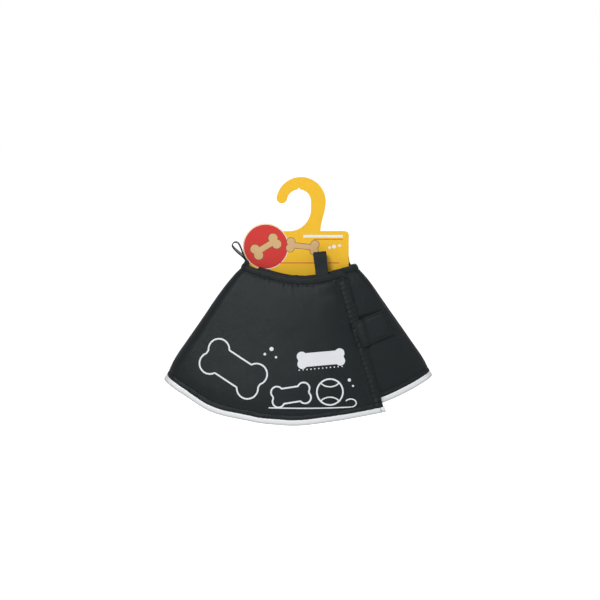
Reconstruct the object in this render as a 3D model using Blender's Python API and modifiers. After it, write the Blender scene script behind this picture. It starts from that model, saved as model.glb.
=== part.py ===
"""Padded recovery collar for a pet, closed into a flattened cone, hanging on its hanger card.

Units are metres, +Z is up and the front faces -Y. The origin is the top of the hook's inner
curve, where a rail carries the hanger. The collar is a fan of padded cloth. It is described
as its flat pattern, in polar form about the point where all its sides would meet: a radius
is a distance from that apex, and an angle runs along the fan, positive to the right of the
front centre. The fan is rolled up as a spiral round a flattened cone: it starts at the
flap's edge at the front right, goes left, round the back, and ends under the front.
"""

import bisect
import collections
import math

import bmesh
import bpy
from mathutils import Matrix, Vector

# Cone that the collar is rolled round
APEX_HEIGHT = 0.0051        # apex above the hook's seat
COLLAR_SHIFT = 0.0035       # apex to the right of the hook's seat
FOLD_ANGLE = math.radians(35.0)   # side folds, from the vertical
BOW_ANGLE = math.radians(8.0)     # front and back faces, from the vertical
FOLD_ROUND = 0.070          # rounding of the side folds, per metre below the apex
OVAL_STEPS = 160            # points in each arc of the oval

# Fan, as cut and sewn
NECK_RADIUS = 0.1255        # apex to the neck edge at the front centre
COLLAR_DEPTH = 0.200        # neck edge to hem edge
FOAM_THICKNESS = 0.0070     # padded cloth between its seams
SEAM_THICKNESS = 0.0028     # the same cloth where it is stitched flat
WRAP_PITCH = 0.0086         # what one full turn adds between two layers
NECK_SLIDE = 0.0035         # what one full turn raises the neck edge
HEM_SLIDE = 0.0110          # what one full turn raises the hem edge
NECK_DIP = 0.0060           # how far the neck edge drops at each side fold
NECK_DIP_SPREAD = math.radians(11.0)
GAP = 0.0003                # between pieces that touch

# Flap: the outer end of the fan. Each of its two lines passes the apex at a distance, its miss
FLAP_EDGE_ANGLE = math.radians(15.7)
FLAP_EDGE_MISS = 0.0255
FLAP_SEAM_ANGLE = math.radians(16.5)
FLAP_SEAM_MISS = 0.0109
FLAP_PRESS = 0.0015         # how far the flap's stitched margin lies nearer the layer below
FLAP_CORNER = 0.0080        # rounding of the flap's neck corner
STRIP_OVERHANG = 0.20       # hem binding past the flap's edge, as a share of the margin

# Underlap: the inner end of the fan, which lies under the front
UNDERLAP_ANGLE = math.radians(23.0)
UNDERLAP_MISS = 0.0120
UNDERLAP_MARGIN = math.radians(5.0)

# Bindings
NECK_BINDING_WIDTH = 0.0095
NECK_BINDING_THICKNESS = 0.0050
HEM_BINDING_WIDTH = 0.0082
HEM_BINDING_THICKNESS = 0.0026

# Closure at the front right: a padded tab over a patch of hook tape
TAB_LENGTH = 0.0470
TAB_WIDTH = 0.0370
TAB_THICKNESS = 0.0034
TAB_RADIUS = 0.2175
TAB_ANGLE = math.radians(26.6)
TAB_TURN = math.radians(22.5)
PATCH_LENGTH = 0.0400
PATCH_WIDTH = 0.0340
PATCH_THICKNESS = 0.0012
PATCH_RADIUS = 0.2125
PATCH_ANGLE = math.radians(26.7)
PATCH_TURN = math.radians(14.0)
STEP_START = 0.0010         # past the flap's edge, where the tab starts to drop to the patch
STEP_END = 0.0075

# Tape loops on the neck edge
LOOP_LENGTH = 0.0320
LOOP_WIDTH = 0.0173
LOOP_TAPE = 0.0012
LOOP_GAP = 0.0085           # widest inside
LOOP_FOOT_GAP = 0.0008      # above the binding
LOOP_ROOT = 0.0045          # length that is stitched shut
LOOP_BEND = 0.0040          # length over which it leans over
LOOP_FLATTEN = 0.0090       # length over which it straightens from the curve of the rim
LOOP_STEPS = 9
FRONT_LOOP_ANGLE = math.radians(12.8)
BACK_LOOP_ANGLE = math.radians(28.5)    # past the middle of the back
SIDE_LOOP_OFFSET = 0.0010   # outward of the middle of the rim

# Hanger card, in the plane of the side folds
CARD_THICKNESS = 0.0012
CARD_RIGHT = 0.0682
CARD_TOP = -0.0566
CARD_BOTTOM = -0.1325
CARD_CORNER = 0.0060
CARD_NECK_LEFT = -0.0665
CARD_NECK_LEVEL = -0.1100   # below it the card widens to the folds that it carries
CARD_SHOULDER = 0.0060      # drop of the shoulder from the neck to the wing
CARD_REST = 0.0006          # between a wing and the fold that hangs on it
LOBE_X = -0.0452
LOBE_Z = -0.0780
LOBE_RADIUS = 0.0315
LOBE_START = math.radians(42.0)
LOBE_END = math.radians(214.0)
HOOK_INNER = 0.0165         # radius of the curve that takes the rail
HOOK_OUTER = 0.0338
HOOK_OUTER_X = 0.0029       # centre of the outer curve from that of the inner one
HOOK_OUTER_Z = -0.0004
HOOK_TIP_LEVEL = -0.0116    # centre of the hook's round tip
HOOK_NICK = 0.0022
STEM_RADIUS = 0.0305        # sweep from the hook down into the card's top edge
STEM_X = -0.0140
STEM_Z = -0.0265
STEM_FOOT_X = 0.0295

FlapRow = collections.namedtuple("FlapRow", "share fill press corner")
EndRow = collections.namedtuple("EndRow", "share fill")
Row = collections.namedtuple("Row", "share fill")
Wave = collections.namedtuple("Wave", "angle drop")
PatternLine = collections.namedtuple("PatternLine", "angle miss fill press corner")
Loop = collections.namedtuple("Loop", "name angle offset lean_out lean_side twist")

# How far the hem hangs below its even curve, from the left fold to the flap's edge
HEM_WAVES = (
    Wave(angle=math.radians(-60), drop=0.0),
    Wave(angle=math.radians(-38), drop=0.0038),
    Wave(angle=math.radians(-30), drop=0.0044),
    Wave(angle=math.radians(-22), drop=0.0076),
    Wave(angle=math.radians(-12), drop=0.0032),
    Wave(angle=math.radians(-4), drop=0.0014),
    Wave(angle=math.radians(8), drop=-0.0027),
    Wave(angle=math.radians(14), drop=-0.0024),
    Wave(angle=math.radians(22), drop=0.0016),
)
# Across the flap's margin, from its edge (share 0) to its seam (share 1) and on into the padding
FLAP_ROWS = (
    FlapRow(share=0.00, fill=0.00, press=1.0, corner=1.00),
    FlapRow(share=0.08, fill=0.05, press=1.0, corner=0.46),
    FlapRow(share=0.25, fill=0.08, press=1.0, corner=0.14),
    FlapRow(share=0.55, fill=0.05, press=1.0, corner=0.00),
    FlapRow(share=0.90, fill=0.00, press=1.0, corner=0.00),
    FlapRow(share=1.08, fill=0.10, press=0.9, corner=0.00),
    FlapRow(share=1.35, fill=0.60, press=0.5, corner=0.00),
    FlapRow(share=1.80, fill=0.92, press=0.1, corner=0.00),
)
# Across the underlap's margin, from the padding to its end
END_ROWS = (
    EndRow(share=0.40, fill=0.90),
    EndRow(share=0.70, fill=0.40),
    EndRow(share=1.00, fill=0.00),
)
# Down the padded cloth, from the neck seam to the hem binding
PANEL_ROWS = (
    Row(share=0.000, fill=0.00),
    Row(share=0.013, fill=0.50),
    Row(share=0.036, fill=0.90),
    Row(share=0.080, fill=1.00),
    Row(share=0.230, fill=1.00),
    Row(share=0.400, fill=1.00),
    Row(share=0.570, fill=1.00),
    Row(share=0.740, fill=1.00),
    Row(share=0.880, fill=1.00),
    Row(share=0.935, fill=0.80),
    Row(share=0.962, fill=0.00),
    Row(share=1.000, fill=0.06),
)
# Down the neck binding, a folded strip with a round top
NECK_ROWS = (
    Row(share=0.00, fill=0.00),
    Row(share=0.12, fill=0.62),
    Row(share=0.34, fill=1.00),
    Row(share=0.72, fill=0.90),
    Row(share=1.00, fill=0.10),
)
# Down the hem binding, a folded tape with its fold at the bottom
HEM_ROWS = (
    Row(share=0.00, fill=0.70),
    Row(share=0.30, fill=1.00),
    Row(share=0.78, fill=0.85),
    Row(share=1.00, fill=0.00),
)
# From one edge of the tab or patch to the other
TAB_ROWS = (
    Row(share=0.00, fill=0.00),
    Row(share=0.07, fill=0.35),
    Row(share=0.16, fill=0.70),
    Row(share=0.34, fill=0.95),
    Row(share=0.50, fill=1.00),
    Row(share=0.66, fill=0.95),
    Row(share=0.84, fill=0.70),
    Row(share=0.93, fill=0.35),
    Row(share=1.00, fill=0.00),
)
PATCH_ROWS = tuple(Row(share=i / 4, fill=1.0) for i in range(5))


def clear_scene():
    for obj in list(bpy.data.objects):
        bpy.data.objects.remove(obj, do_unlink=True)


def make_collection():
    collection = bpy.data.collections.new("pet_recovery_collar")
    bpy.context.scene.collection.children.link(collection)
    return collection


def make_material(name, colour, roughness, metallic=0.0):
    material = bpy.data.materials.new(name)
    material.use_nodes = True
    shader = material.node_tree.nodes["Principled BSDF"]
    shader.inputs["Base Color"].default_value = (*colour, 1.0)
    shader.inputs["Roughness"].default_value = roughness
    shader.inputs["Metallic"].default_value = metallic
    return material


def lerp(start, end, share):
    return start + (end - start) * share


def smooth_step(value):
    value = min(1.0, max(0.0, value))
    return value * value * (3.0 - 2.0 * value)


def oval_quarter():
    """Cross-section one metre below the apex, from the front centre to the left fold's crest."""
    half_width = math.tan(FOLD_ANGLE)
    half_depth = math.tan(BOW_ANGLE)
    reach = half_width - FOLD_ROUND
    face_radius = (reach**2 + half_depth**2 - FOLD_ROUND**2) / (2 * (half_depth - FOLD_ROUND))
    face_turn = math.asin(reach / (face_radius - FOLD_ROUND))
    points = []
    for i in range(OVAL_STEPS):
        turn = face_turn * i / OVAL_STEPS
        points.append((-face_radius * math.sin(turn), face_radius * (1 - math.cos(turn)) - half_depth))
    for i in range(OVAL_STEPS + 1):
        turn = lerp(face_turn, math.pi / 2, i / OVAL_STEPS)
        points.append((-reach - FOLD_ROUND * math.sin(turn), -FOLD_ROUND * math.cos(turn)))
    return points


def oval_directions():
    """Unit vectors from the apex round the whole oval, from the front centre to the left."""
    quarter = oval_quarter()
    back_left = [(x, -y) for x, y in reversed(quarter[:-1])]
    back_right = [(-x, -y) for x, y in quarter[1:]]
    front_right = [(-x, y) for x, y in reversed(quarter[:-1])]
    points = quarter + back_left + back_right + front_right
    return [Vector((x, y, -1.0)).normalized() for x, y in points]


def running_angles(directions):
    """The angle that the cloth has covered at each direction."""
    angles = [0.0]
    for before, after in zip(directions, directions[1:]):
        angles.append(angles[-1] + before.angle(after))
    return angles


DIRECTIONS = oval_directions()
ANGLES = running_angles(DIRECTIONS)
FULL_TURN = ANGLES[-1]
FOLD_START = ANGLES[OVAL_STEPS]
APEX = Vector((COLLAR_SHIFT, 0.0, APEX_HEIGHT))

LOOPS = (
    Loop("neck_loop_front", FRONT_LOOP_ANGLE, 0.0, math.radians(-9), math.radians(-7), 0.0),
    Loop("neck_loop_side", -FULL_TURN / 4, SIDE_LOOP_OFFSET, math.radians(69), 0.0, 0.0),
    Loop("neck_loop_back", -FULL_TURN / 2 - BACK_LOOP_ANGLE, 0.0, math.radians(26),
         math.radians(18), math.radians(20)),
)


def cone_point(radius, angle, height=0.0):
    """A point over the bare cone, at a height along its outward normal."""
    along = -angle % FULL_TURN
    i = min(len(ANGLES) - 1, max(1, bisect.bisect_right(ANGLES, along)))
    share = (along - ANGLES[i - 1]) / (ANGLES[i] - ANGLES[i - 1])
    direction = DIRECTIONS[i - 1].lerp(DIRECTIONS[i], share).normalized()
    normal = (DIRECTIONS[i] - DIRECTIONS[i - 1]).cross(direction).normalized()
    return APEX + direction * radius + normal * height


def turns(angle):
    """Turns from the front centre of the outer layer. The layer below it is at 1."""
    return -angle / FULL_TURN


def layer_height(angle):
    """Middle of the rolled cloth above the bare cone."""
    return WRAP_PITCH * (0.5 - turns(angle))


def wrap_point(radius, angle, height=0.0):
    """A point over the middle of the rolled cloth."""
    return cone_point(radius, angle, layer_height(angle) + height)


def neck_edge(angle):
    """Radius of the neck edge, which drops at each side fold."""
    from_fold = (angle / FULL_TURN * 2 + 0.5 + 0.5) % 1.0 - 0.5
    dip = math.exp(-((from_fold * FULL_TURN / 2 / NECK_DIP_SPREAD) ** 2))
    return NECK_RADIUS - NECK_SLIDE * turns(angle) + NECK_DIP * dip


def hem_wave(angle):
    """How far the hem hangs below its even curve at an angle."""
    if angle <= HEM_WAVES[0].angle:
        return HEM_WAVES[0].drop
    for before, after in zip(HEM_WAVES, HEM_WAVES[1:]):
        if angle <= after.angle:
            share = (angle - before.angle) / (after.angle - before.angle)
            return lerp(before.drop, after.drop, smooth_step(share))
    return HEM_WAVES[-1].drop


def hem_edge(angle):
    return NECK_RADIUS + COLLAR_DEPTH - HEM_SLIDE * turns(angle) + hem_wave(angle)


def line_angle(line, radius):
    """Angle of a straight line of the flat pattern at a radius."""
    return line.angle + math.asin(line.miss / radius)


def spaced(start, end, count):
    """Angles after start up to and with end."""
    return [lerp(start, end, (i + 1) / count) for i in range(count)]


def flap_lines(rows):
    lines = []
    for row in rows:
        angle = lerp(FLAP_EDGE_ANGLE, FLAP_SEAM_ANGLE, row.share)
        miss = lerp(FLAP_EDGE_MISS, FLAP_SEAM_MISS, row.share)
        lines.append(PatternLine(angle, max(miss, 0.0), row.fill, row.press, row.corner))
    return lines


def body_lines():
    """Lines from the flap's padding to the underlap, closer together round the folds."""
    half_turn = FULL_TURN / 2
    first = FLAP_SEAM_ANGLE * 0.62
    last = -FULL_TURN - UNDERLAP_ANGLE + UNDERLAP_MARGIN
    angles = [first]
    angles += spaced(first, -FOLD_START, 11)
    angles += spaced(-FOLD_START, -half_turn + FOLD_START, 12)
    angles += spaced(-half_turn + FOLD_START, -half_turn - FOLD_START, 16)
    angles += spaced(-half_turn - FOLD_START, -FULL_TURN + FOLD_START, 12)
    angles += spaced(-FULL_TURN + FOLD_START, last, 12)
    return [PatternLine(angle, 0.0, 1.0, 0.0, 0.0) for angle in angles]


def end_lines():
    lines = []
    for row in END_ROWS:
        angle = -FULL_TURN - UNDERLAP_ANGLE + UNDERLAP_MARGIN * (1 - row.share)
        lines.append(PatternLine(angle, -UNDERLAP_MISS * row.share, row.fill, 0.0, 0.0))
    return lines


def pattern_lines():
    """Straight lines of the flat pattern that the collar is lofted through, flap to underlap."""
    return flap_lines(FLAP_ROWS) + body_lines() + end_lines()


def padded_sheet(name, columns, rows, place, thickness, edge_thickness, material, collection):
    """An open grid, mapped by place, and given its wall by Solidify.

    place(column, row) returns a point and how full the wall is there, from 0 to 1.
    """
    grid = bmesh.new()
    weights = grid.verts.layers.deform.verify()
    bmesh.ops.create_grid(grid, x_segments=len(columns) - 1, y_segments=len(rows) - 1, size=0.5)
    grid.verts.ensure_lookup_table()
    for vert in grid.verts:
        column = columns[round((vert.co.x + 0.5) * (len(columns) - 1))]
        row = rows[round((vert.co.y + 0.5) * (len(rows) - 1))]
        vert.co, fill = place(column, row)
        vert[weights][0] = fill
    mesh = bpy.data.meshes.new(name)
    grid.to_mesh(mesh)
    grid.free()
    obj = bpy.data.objects.new(name, mesh)
    collection.objects.link(obj)
    obj.vertex_groups.new(name="fill")
    mesh.materials.append(material)
    wall = obj.modifiers.new("wall", "SOLIDIFY")
    wall.thickness = thickness
    wall.thickness_vertex_group = edge_thickness / thickness
    wall.vertex_group = "fill"
    wall.offset = 0.0
    mesh.shade_smooth()
    return obj


def wrapped_sheet(name, lines, rows, start, end, thickness, edge_thickness, material, collection):
    """A strip of the fan between two radii, each a function of a pattern line."""

    def place(line, row):
        radius = lerp(start(line), end(line), row.share)
        fill = line.fill * row.fill
        height = -FLAP_PRESS * line.press
        return wrap_point(radius, line_angle(line, radius), height), fill

    return padded_sheet(
        name, lines, rows, place, thickness, edge_thickness, material, collection
    )


def neck_start(line):
    edge = neck_edge(line_angle(line, NECK_RADIUS))
    return edge + FLAP_CORNER * line.corner


def binding_end(line):
    edge = neck_edge(line_angle(line, NECK_RADIUS))
    return max(neck_start(line), edge) + NECK_BINDING_WIDTH


def hem_end(line):
    return hem_edge(line_angle(line, NECK_RADIUS + COLLAR_DEPTH))


def make_padded_panel(material, collection):
    """The padded fan itself, from the neck binding to the hem binding."""
    return wrapped_sheet(
        "padded_panel",
        pattern_lines(),
        PANEL_ROWS,
        lambda line: binding_end(line) + GAP,
        lambda line: hem_end(line) - HEM_BINDING_WIDTH - GAP,
        FOAM_THICKNESS,
        SEAM_THICKNESS,
        material,
        collection,
    )


def make_neck_binding(material, collection):
    """A folded strip sewn round the neck edge, along the whole fan."""
    lines = [line._replace(fill=1.0) for line in pattern_lines()]
    return wrapped_sheet(
        "neck_binding",
        lines,
        NECK_ROWS,
        neck_start,
        binding_end,
        NECK_BINDING_THICKNESS,
        NECK_BINDING_THICKNESS * 0.4,
        material,
        collection,
    )


def make_hem_binding(material, collection):
    """Reflective tape along the hem, which runs a little past the flap's edge."""
    past_edge = FlapRow(share=-STRIP_OVERHANG, fill=0.0, press=1.0, corner=0.0)
    lines = [line._replace(fill=1.0) for line in flap_lines([past_edge]) + pattern_lines()]
    return wrapped_sheet(
        "hem_binding",
        lines,
        HEM_ROWS,
        lambda line: hem_end(line) - HEM_BINDING_WIDTH,
        hem_end,
        HEM_BINDING_THICKNESS,
        HEM_BINDING_THICKNESS * 0.4,
        material,
        collection,
    )


def laid_place(radius, angle, turn, length, width, height_at):
    """Maps a rectangle of the flat pattern, centred at a radius and angle, over the front."""
    centre = Vector((radius * math.sin(angle), -radius * math.cos(angle)))
    along = Vector((math.cos(turn), math.sin(turn)))
    down = Vector((math.sin(turn), -math.cos(turn)))

    def place(column, row):
        at = centre + along * length * (column.share - 0.5) + down * width * (row.share - 0.5)
        point_radius = at.length
        point_angle = math.atan2(at.x, -at.y)
        height = height_at(point_radius, point_angle)
        return cone_point(point_radius, point_angle, height), min(column.fill, row.fill)

    return place


def underlap_face(angle):
    """Height of the outer face of the layer below the flap."""
    return layer_height(angle - FULL_TURN) + FOAM_THICKNESS / 2


def patch_height(radius, angle):
    return underlap_face(angle) + GAP + PATCH_THICKNESS / 2


def tab_height(radius, angle):
    """The tab lies on the flap's margin, then steps down on to the patch."""
    edge = FLAP_EDGE_ANGLE + math.asin(FLAP_EDGE_MISS / radius)
    past_edge = (angle - edge) * radius
    margin_face = layer_height(edge) - FLAP_PRESS + SEAM_THICKNESS / 2
    high = margin_face + 2 * GAP
    low = patch_height(radius, angle) + PATCH_THICKNESS / 2 + GAP
    step = smooth_step((past_edge - STEP_START) / (STEP_END - STEP_START))
    return lerp(high, low, step) + TAB_THICKNESS / 2


def make_closure_tab(material, collection):
    return padded_sheet(
        "closure_tab",
        TAB_ROWS,
        TAB_ROWS,
        laid_place(TAB_RADIUS, TAB_ANGLE, TAB_TURN, TAB_LENGTH, TAB_WIDTH, tab_height),
        TAB_THICKNESS,
        TAB_THICKNESS * 0.5,
        material,
        collection,
    )


def make_closure_patch(material, collection):
    return padded_sheet(
        "closure_patch",
        PATCH_ROWS,
        PATCH_ROWS,
        laid_place(
            PATCH_RADIUS, PATCH_ANGLE, PATCH_TURN, PATCH_LENGTH, PATCH_WIDTH, patch_height
        ),
        PATCH_THICKNESS,
        PATCH_THICKNESS,
        material,
        collection,
    )


def tape_path(lean):
    """Middle line of a tape folded double, as outward and upward steps from foot to foot."""
    round_radius = (LOOP_GAP + LOOP_TAPE) / 2
    straight = LOOP_LENGTH - round_radius
    step = straight / LOOP_STEPS / 4
    middle = Vector((0.0, 0.0))
    up_leg = []
    down_leg = []
    for i in range(LOOP_STEPS * 4 + 1):
        along = i * step
        tilt = lean * smooth_step(along / LOOP_BEND)
        forward = Vector((math.sin(tilt), math.cos(tilt)))
        side = Vector((math.cos(tilt), -math.sin(tilt)))
        if i % 4 == 0:
            opened = smooth_step((along - LOOP_ROOT) / (straight - LOOP_ROOT))
            half = lerp((LOOP_TAPE + GAP) / 2, round_radius, opened)
            up_leg.append(middle - side * half)
            down_leg.append(middle + side * half)
        middle += forward * step
    top = middle - forward * step
    crest = []
    for i in range(1, 8):
        turn = math.pi * i / 8
        crest.append(top + (forward * math.sin(turn) - side * math.cos(turn)) * round_radius)
    return up_leg + crest + down_leg[::-1]


def make_neck_loop(loop, material, collection):
    """A tape folded double, with both ends caught in the top of the neck binding."""

    def frame(angle):
        rim = neck_edge(angle)
        foot = wrap_point(rim - LOOP_FOOT_GAP, angle, loop.offset)
        up = (wrap_point(0.0, angle) - wrap_point(rim, angle)).normalized()
        out = (wrap_point(rim, angle, 1.0) - wrap_point(rim, angle)).normalized()
        return foot, out, up

    foot, out, up = frame(loop.angle)
    along_rim = out.cross(up)
    twist = Matrix.Rotation(loop.twist, 3, up)

    def place(column, point):
        across = LOOP_WIDTH * column
        near_foot, near_out, near_up = frame(loop.angle - across / NECK_RADIUS)
        bent = near_foot + near_out * point.x + near_up * point.y
        turned = Vector((across, point.y)) @ Matrix.Rotation(loop.lean_side, 2)
        flat = foot + twist @ (along_rim * turned.x + up * turned.y + out * point.x)
        return bent.lerp(flat, smooth_step(point.y / LOOP_FLATTEN)), 1.0

    columns = [i / 6 - 0.5 for i in range(7)]
    path = tape_path(loop.lean_out)
    return padded_sheet(
        loop.name, columns, path, place, LOOP_TAPE, LOOP_TAPE, material, collection
    )


def add_outline(curve, outline):
    """A closed flat outline as a poly spline."""
    spline = curve.splines.new("POLY")
    spline.points.add(len(outline) - 1)
    for point, (x, y) in zip(spline.points, outline):
        point.co = (x, y, 0.0, 1.0)
    spline.use_cyclic_u = True


def flat_curve(name, outlines, thickness, material, collection):
    """A flat shape with its holes, in its own XY plane, as thick as it says."""
    curve = bpy.data.curves.new(name, "CURVE")
    curve.dimensions = "2D"
    curve.fill_mode = "BOTH"
    curve.extrude = thickness / 2
    for outline in outlines:
        add_outline(curve, outline)
    curve.materials.append(material)
    obj = bpy.data.objects.new(name, curve)
    collection.objects.link(obj)
    return obj


def arc(centre_x, centre_z, radius, start, end, steps):
    points = []
    for i in range(steps + 1):
        turn = lerp(start, end, i / steps)
        points.append((centre_x + radius * math.cos(turn), centre_z + radius * math.sin(turn)))
    return points


def hook_outline():
    """The hook, from the foot of its stem on the right, over the top and back on the inside."""
    inner_z = -HOOK_INNER
    outer_z = inner_z + HOOK_OUTER_Z
    outer_end = math.pi - math.asin((HOOK_TIP_LEVEL - outer_z) / HOOK_OUTER)
    inner_end = math.pi - math.asin((HOOK_TIP_LEVEL - inner_z) / HOOK_INNER)
    outer_tip = HOOK_OUTER_X + HOOK_OUTER * math.cos(outer_end)
    inner_tip = HOOK_INNER * math.cos(inner_end)
    tip_radius = (inner_tip - outer_tip) / 2
    nick = HOOK_NICK / HOOK_INNER
    right = HOOK_OUTER_X + HOOK_OUTER
    foot = []
    for i in range(7):
        share = i / 6
        swing = smooth_step(share)
        foot.append((lerp(STEM_FOOT_X, right, swing), lerp(CARD_TOP, outer_z, share)))
    over = arc(HOOK_OUTER_X, outer_z, HOOK_OUTER, 0.0, outer_end, 24)[1:]
    tip = arc(outer_tip + tip_radius, HOOK_TIP_LEVEL, tip_radius, math.pi, 2 * math.pi, 8)[1:-1]
    inside = arc(0.0, inner_z, HOOK_INNER, inner_end, math.pi / 2 + nick, 7)
    inside.append((0.0, HOOK_NICK))
    inside += arc(0.0, inner_z, HOOK_INNER, math.pi / 2 - nick, 0.0, 9)
    sweep = arc(STEM_X, STEM_Z, STEM_RADIUS, 0.0, -math.radians(88), 14)
    return foot + over + tip + inside + sweep


def wing_edge(side, radius):
    """Point of a wing's edge, which rests against the inside of a side fold."""
    fold = -FULL_TURN / 4 if side < 0 else -FULL_TURN * 3 / 4
    inside = -FOAM_THICKNESS / 2 - CARD_REST
    point = wrap_point(radius, fold, inside)
    return point.x, point.z


def radius_at_level(side, level):
    """Radius at which a wing's edge comes down to a level."""
    near, far = (wing_edge(side, radius) for radius in (NECK_RADIUS, 2 * NECK_RADIUS))
    return NECK_RADIUS * (1 + (level - near[1]) / (far[1] - near[1]))


def card_outline():
    """The whole card: hook, top edge, right edge, wings in the collar, and the round lobe."""
    shoulder = CARD_NECK_LEVEL - CARD_SHOULDER
    lobe = arc(LOBE_X, LOBE_Z, LOBE_RADIUS, LOBE_START, LOBE_END, 26)
    left_top = wing_edge(-1, radius_at_level(-1, shoulder))
    left_foot = wing_edge(-1, radius_at_level(-1, CARD_BOTTOM))
    right_top = wing_edge(1, radius_at_level(1, shoulder))
    right_foot = wing_edge(1, radius_at_level(1, CARD_BOTTOM))
    corner = arc(
        CARD_RIGHT - CARD_CORNER, CARD_TOP - CARD_CORNER, CARD_CORNER, 0.0, math.pi / 2, 6
    )
    neck_left = [(CARD_NECK_LEFT, CARD_NECK_LEVEL)]
    neck_right = [(CARD_RIGHT, CARD_NECK_LEVEL)]
    return (
        hook_outline() + lobe + neck_left + [left_top, left_foot, right_foot, right_top]
        + neck_right + corner
    )


def make_hanger_card(material, collection):
    """Stiff card with its hook, standing in the neck. Its wings carry the side folds."""
    obj = flat_curve("hanger_card", [card_outline()], CARD_THICKNESS, material, collection)
    obj.rotation_euler = (math.pi / 2, 0.0, 0.0)
    return obj


def main():
    clear_scene()
    collection = make_collection()
    nylon = make_material("charcoal_nylon", (0.030, 0.037, 0.041), 0.62)
    binding = make_material("binding_cloth", (0.024, 0.030, 0.034), 0.70)
    reflective = make_material("reflective_tape", (0.66, 0.70, 0.71), 0.45)
    tab_cloth = make_material("tab_cloth", (0.032, 0.040, 0.045), 0.60)
    hook_tape = make_material("hook_tape", (0.018, 0.022, 0.024), 0.90)
    webbing = make_material("loop_webbing", (0.036, 0.044, 0.049), 0.72)
    board = make_material("yellow_board", (0.93, 0.60, 0.035), 0.50)
    make_padded_panel(nylon, collection)
    make_neck_binding(binding, collection)
    make_hem_binding(reflective, collection)
    make_closure_tab(tab_cloth, collection)
    make_closure_patch(hook_tape, collection)
    for loop in LOOPS:
        make_neck_loop(loop, webbing, collection)
    make_hanger_card(board, collection)


main()
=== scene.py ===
"""A padded recovery collar for a pet, closed into a flattened cone, on its hanger card."""

import bisect
import math
from functools import partial

import bmesh
import bpy
from mathutils import Matrix, Vector, noise
from mathutils.bvhtree import BVHTree
from mathutils.geometry import delaunay_2d_cdt


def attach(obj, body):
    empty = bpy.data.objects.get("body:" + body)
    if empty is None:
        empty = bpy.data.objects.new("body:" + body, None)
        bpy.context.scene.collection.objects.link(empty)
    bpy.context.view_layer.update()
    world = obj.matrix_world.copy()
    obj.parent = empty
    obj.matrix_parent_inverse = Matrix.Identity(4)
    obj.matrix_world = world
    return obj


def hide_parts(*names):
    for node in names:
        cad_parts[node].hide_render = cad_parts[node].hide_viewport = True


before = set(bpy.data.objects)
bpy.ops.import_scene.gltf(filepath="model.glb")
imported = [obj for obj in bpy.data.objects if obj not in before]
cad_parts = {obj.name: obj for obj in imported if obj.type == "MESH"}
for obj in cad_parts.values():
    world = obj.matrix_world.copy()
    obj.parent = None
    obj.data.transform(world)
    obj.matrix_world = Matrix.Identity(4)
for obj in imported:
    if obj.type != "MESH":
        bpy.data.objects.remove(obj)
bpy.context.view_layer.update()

# Studio. The collar hangs above a plain floor in even white light, with a wide soft light above the
# front left that draws the padding out of the dark cloth. The room and the floor look brighter to
# the camera than the light they give.
VIEW_CENTRE = Vector((0.0015, 0.0, -0.1516))
VIEW_DISTANCE = 2.0
VIEW_ELEVATION = math.radians(7.0)
VIEW_WIDTH = 0.824
FLOOR_LEVEL = -0.60


def lerp(start, end, share):
    return start + (end - start) * share


def smooth_step(value):
    value = min(1.0, max(0.0, value))
    return value * value * (3.0 - 2.0 * value)


def aim(thing, target):
    """Turns a camera or light towards a point."""
    thing.rotation_euler = (target - thing.location).to_track_quat("-Z", "Y").to_euler()


def add_soft_light(name, place, size, power):
    bpy.ops.object.light_add(type="AREA", location=place)
    light = bpy.context.object
    light.name = name
    light.data.shape = "DISK"
    light.data.size = size
    light.data.energy = power
    aim(light, VIEW_CENTRE)


def set_strength(tree, socket, given, seen):
    """One strength for the light a glow gives, and another for how the camera sees it."""
    ray = tree.nodes.new("ShaderNodeLightPath")
    mix = tree.nodes.new("ShaderNodeMix")
    mix.inputs["A"].default_value = given
    mix.inputs["B"].default_value = seen
    tree.links.new(ray.outputs["Is Camera Ray"], mix.inputs["Factor"])
    tree.links.new(mix.outputs["Result"], socket)


def new_material(name, values):
    """A new material with these values in its shader. Gives its node tree and its shader too."""
    material = bpy.data.materials.new(name)
    material.use_nodes = True
    shader = material.node_tree.nodes["Principled BSDF"]
    for label, value in values.items():
        shader.inputs[label].default_value = value
    return material, material.node_tree, shader


bpy.ops.object.select_all(action="DESELECT")
bpy.ops.object.camera_add()
camera = bpy.context.object
camera.data.lens = camera.data.sensor_width * VIEW_DISTANCE / VIEW_WIDTH
ahead = Vector((0.0, -math.cos(VIEW_ELEVATION), math.sin(VIEW_ELEVATION)))
camera.location = VIEW_CENTRE + ahead * VIEW_DISTANCE
aim(camera, VIEW_CENTRE)
bpy.context.scene.camera = camera

add_soft_light("key_light", (-0.45, -1.30, 0.74), 0.6, 14.0)
add_soft_light("side_light", (1.40, -0.60, 0.20), 0.8, 2.0)
add_soft_light("back_light", (0.30, 1.20, 0.70), 0.8, 10.0)

world = bpy.data.worlds.new("white_room")
bpy.context.scene.world = world
world.use_nodes = True
sky = world.node_tree.nodes["Background"]
sky.inputs["Color"].default_value = (1.0, 1.0, 1.0, 1.0)
set_strength(world.node_tree, sky.inputs["Strength"], 0.36, 1.0)
bpy.context.scene.view_settings.view_transform = "Standard"

bpy.ops.mesh.primitive_plane_add(size=60.0, location=(0.0, 0.0, FLOOR_LEVEL))
floor = bpy.context.object
floor.name = "studio_floor"
paper, paper_tree, paper_shader = new_material("studio_paper", {
    "Base Color": (0.93, 0.93, 0.93, 1.0), "Roughness": 0.9, "Specular IOR Level": 0.0,
    "Emission Color": (1.0, 1.0, 1.0, 1.0),
})
set_strength(paper_tree, paper_shader.inputs["Emission Strength"], 0.0, 0.8)
floor.data.materials.append(paper)

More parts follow.
